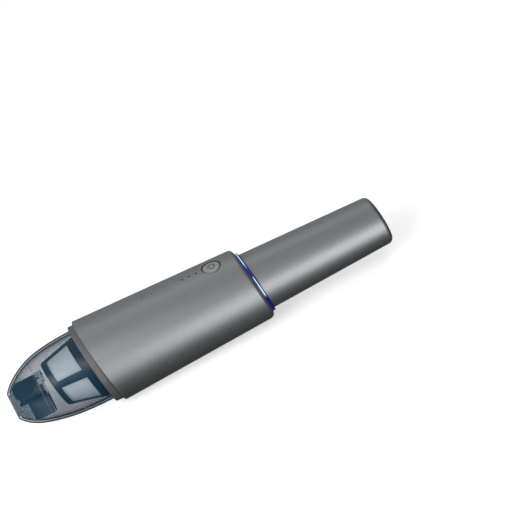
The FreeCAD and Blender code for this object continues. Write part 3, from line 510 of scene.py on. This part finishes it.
def add_power_symbol():
    """Broken circle with a bar, the usual sign for on and off."""
    ink = plain_pair("symbol_ink", SYMBOL_GREY, SYMBOL_ROUGH)
    arc = []
    for i in range(ARC_STEPS + 1):
        angle = math.radians(ARC_GAP + (360 - 2 * ARC_GAP) * i / ARC_STEPS)
        arc.append((-SYMBOL_RADIUS * math.cos(angle), SYMBOL_RADIUS * math.sin(angle)))
    printed_line("power_arc", arc, ink)
    printed_line("power_bar", [(x, 0.0) for x in SYMBOL_BAR], ink)


# ---------------------------------------------------------------- release spring
def press_spring():
    """Gives the coil under the release key a mesh of its own."""
    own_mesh(frame["nodes"]["release_spring"])


# ---------------------------------------------------------------- studio
def aim(position, target, roll=0.0):
    """Matrix of a camera or lamp at a position, looking at a target."""
    back = (position - target).normalized()
    right = Vector((0, 0, 1)).cross(back).normalized()
    up = back.cross(right)
    turn = math.radians(roll)
    right_rolled = math.cos(turn) * right + math.sin(turn) * up
    up_rolled = math.cos(turn) * up - math.sin(turn) * right
    matrix = Matrix((right_rolled, up_rolled, back)).transposed().to_4x4()
    matrix.translation = position
    return matrix


def direction(azimuth, elevation):
    """Unit vector from the tool to a place in the studio; azimuth 0 lies on the -Y side."""
    turn, rise = math.radians(azimuth), math.radians(elevation)
    return Vector((math.sin(turn) * math.cos(rise), -math.cos(turn) * math.cos(rise), math.sin(rise)))


def add_camera():
    target = Vector((TIP_X + LOOK_ALONG, 0, AXIS_Z + LOOK_ABOVE))
    data = bpy.data.cameras.new("camera")
    data.lens = LENS
    data.sensor_width = SENSOR_WIDTH
    data.dof.use_dof = False
    camera = add_object("camera", data)
    position = target + direction(VIEW_TURN, VIEW_RISE) * VIEW_DISTANCE
    camera.matrix_world = aim(position, target, VIEW_ROLL)
    bpy.context.scene.camera = camera


def add_softbox(name, azimuth, elevation, distance, width, height, power):
    """Soft rectangular lamp that looks at the tool and that the camera doesn't see."""
    target = Vector((LAMP_TARGET_X, 0, AXIS_Z))
    data = bpy.data.lights.new(name, "AREA")
    data.shape = "RECTANGLE"
    data.size = width
    data.size_y = height
    data.energy = power
    lamp = add_object(name, data)
    lamp.matrix_world = aim(target + direction(azimuth, elevation) * distance, target)
    lamp.visible_camera = False


def add_floor():
    """Pale floor under the tool, lit evenly."""
    mesh = bpy.data.meshes.new("floor")
    corners = [(-1, -1), (1, -1), (1, 1), (-1, 1)]
    mesh.from_pydata([(x * FLOOR_HALF, y * FLOOR_HALF, 0) for x, y in corners], [], [(0, 1, 2, 3)])
    material, tree, shader, place = start_material("floor")
    add_cloud(tree, shader, place, FLOOR_CELLS, FLOOR_DARK, FLOOR_LIGHT)
    shader.inputs["Roughness"].default_value = FLOOR_ROUGH
    shader.inputs["Emission Color"].default_value = (1, 1, 1, 1)
    shader.inputs["Emission Strength"].default_value = FLOOR_GLOW
    mesh.materials.append(material)
    floor = add_object("floor", mesh)
    floor.location.z = cad_box[0][2] - FLOOR_DROP
    floor.visible_glossy = False
    floor.visible_diffuse = False
    floor.visible_shadow = False


def set_world():
    """Pale surroundings that darken below the horizon and beyond the handle's end."""
    world = bpy.data.worlds.new("studio")
    bpy.context.scene.world = world
    world.use_nodes = True
    tree = world.node_tree
    place = tree.nodes.new("ShaderNodeTexCoord")
    look = add_split(tree, place.outputs["Generated"])
    sky = add_grey_ramp(tree, add_range(tree, look["Z"], 0.0, 1.0, -1.0, 1.0), SKY_GREYS)
    beyond = add_grey_ramp(tree, look["X"], HANDLE_SIDE_GREYS)
    both = add_mix(tree, "MULTIPLY", 1.0, sky, beyond)
    tree.links.new(both, tree.nodes["Background"].inputs["Color"])
    tree.nodes["Background"].inputs["Strength"].default_value = 1.0


def add_studio():
    set_world()
    add_floor()
    for softbox in SOFTBOXES:
        add_softbox(*softbox)
    bpy.context.scene.view_settings.view_transform = "Standard"


def let_light_in():
    """The clear cup and partition throw no shadow on what they hold."""
    for name in ("dust_cup", "partition"):
        frame["nodes"][name].visible_shadow = False


paint_nodes(slot_materials())
add_power_symbol()
press_spring()
add_camera()
add_studio()
let_light_in()
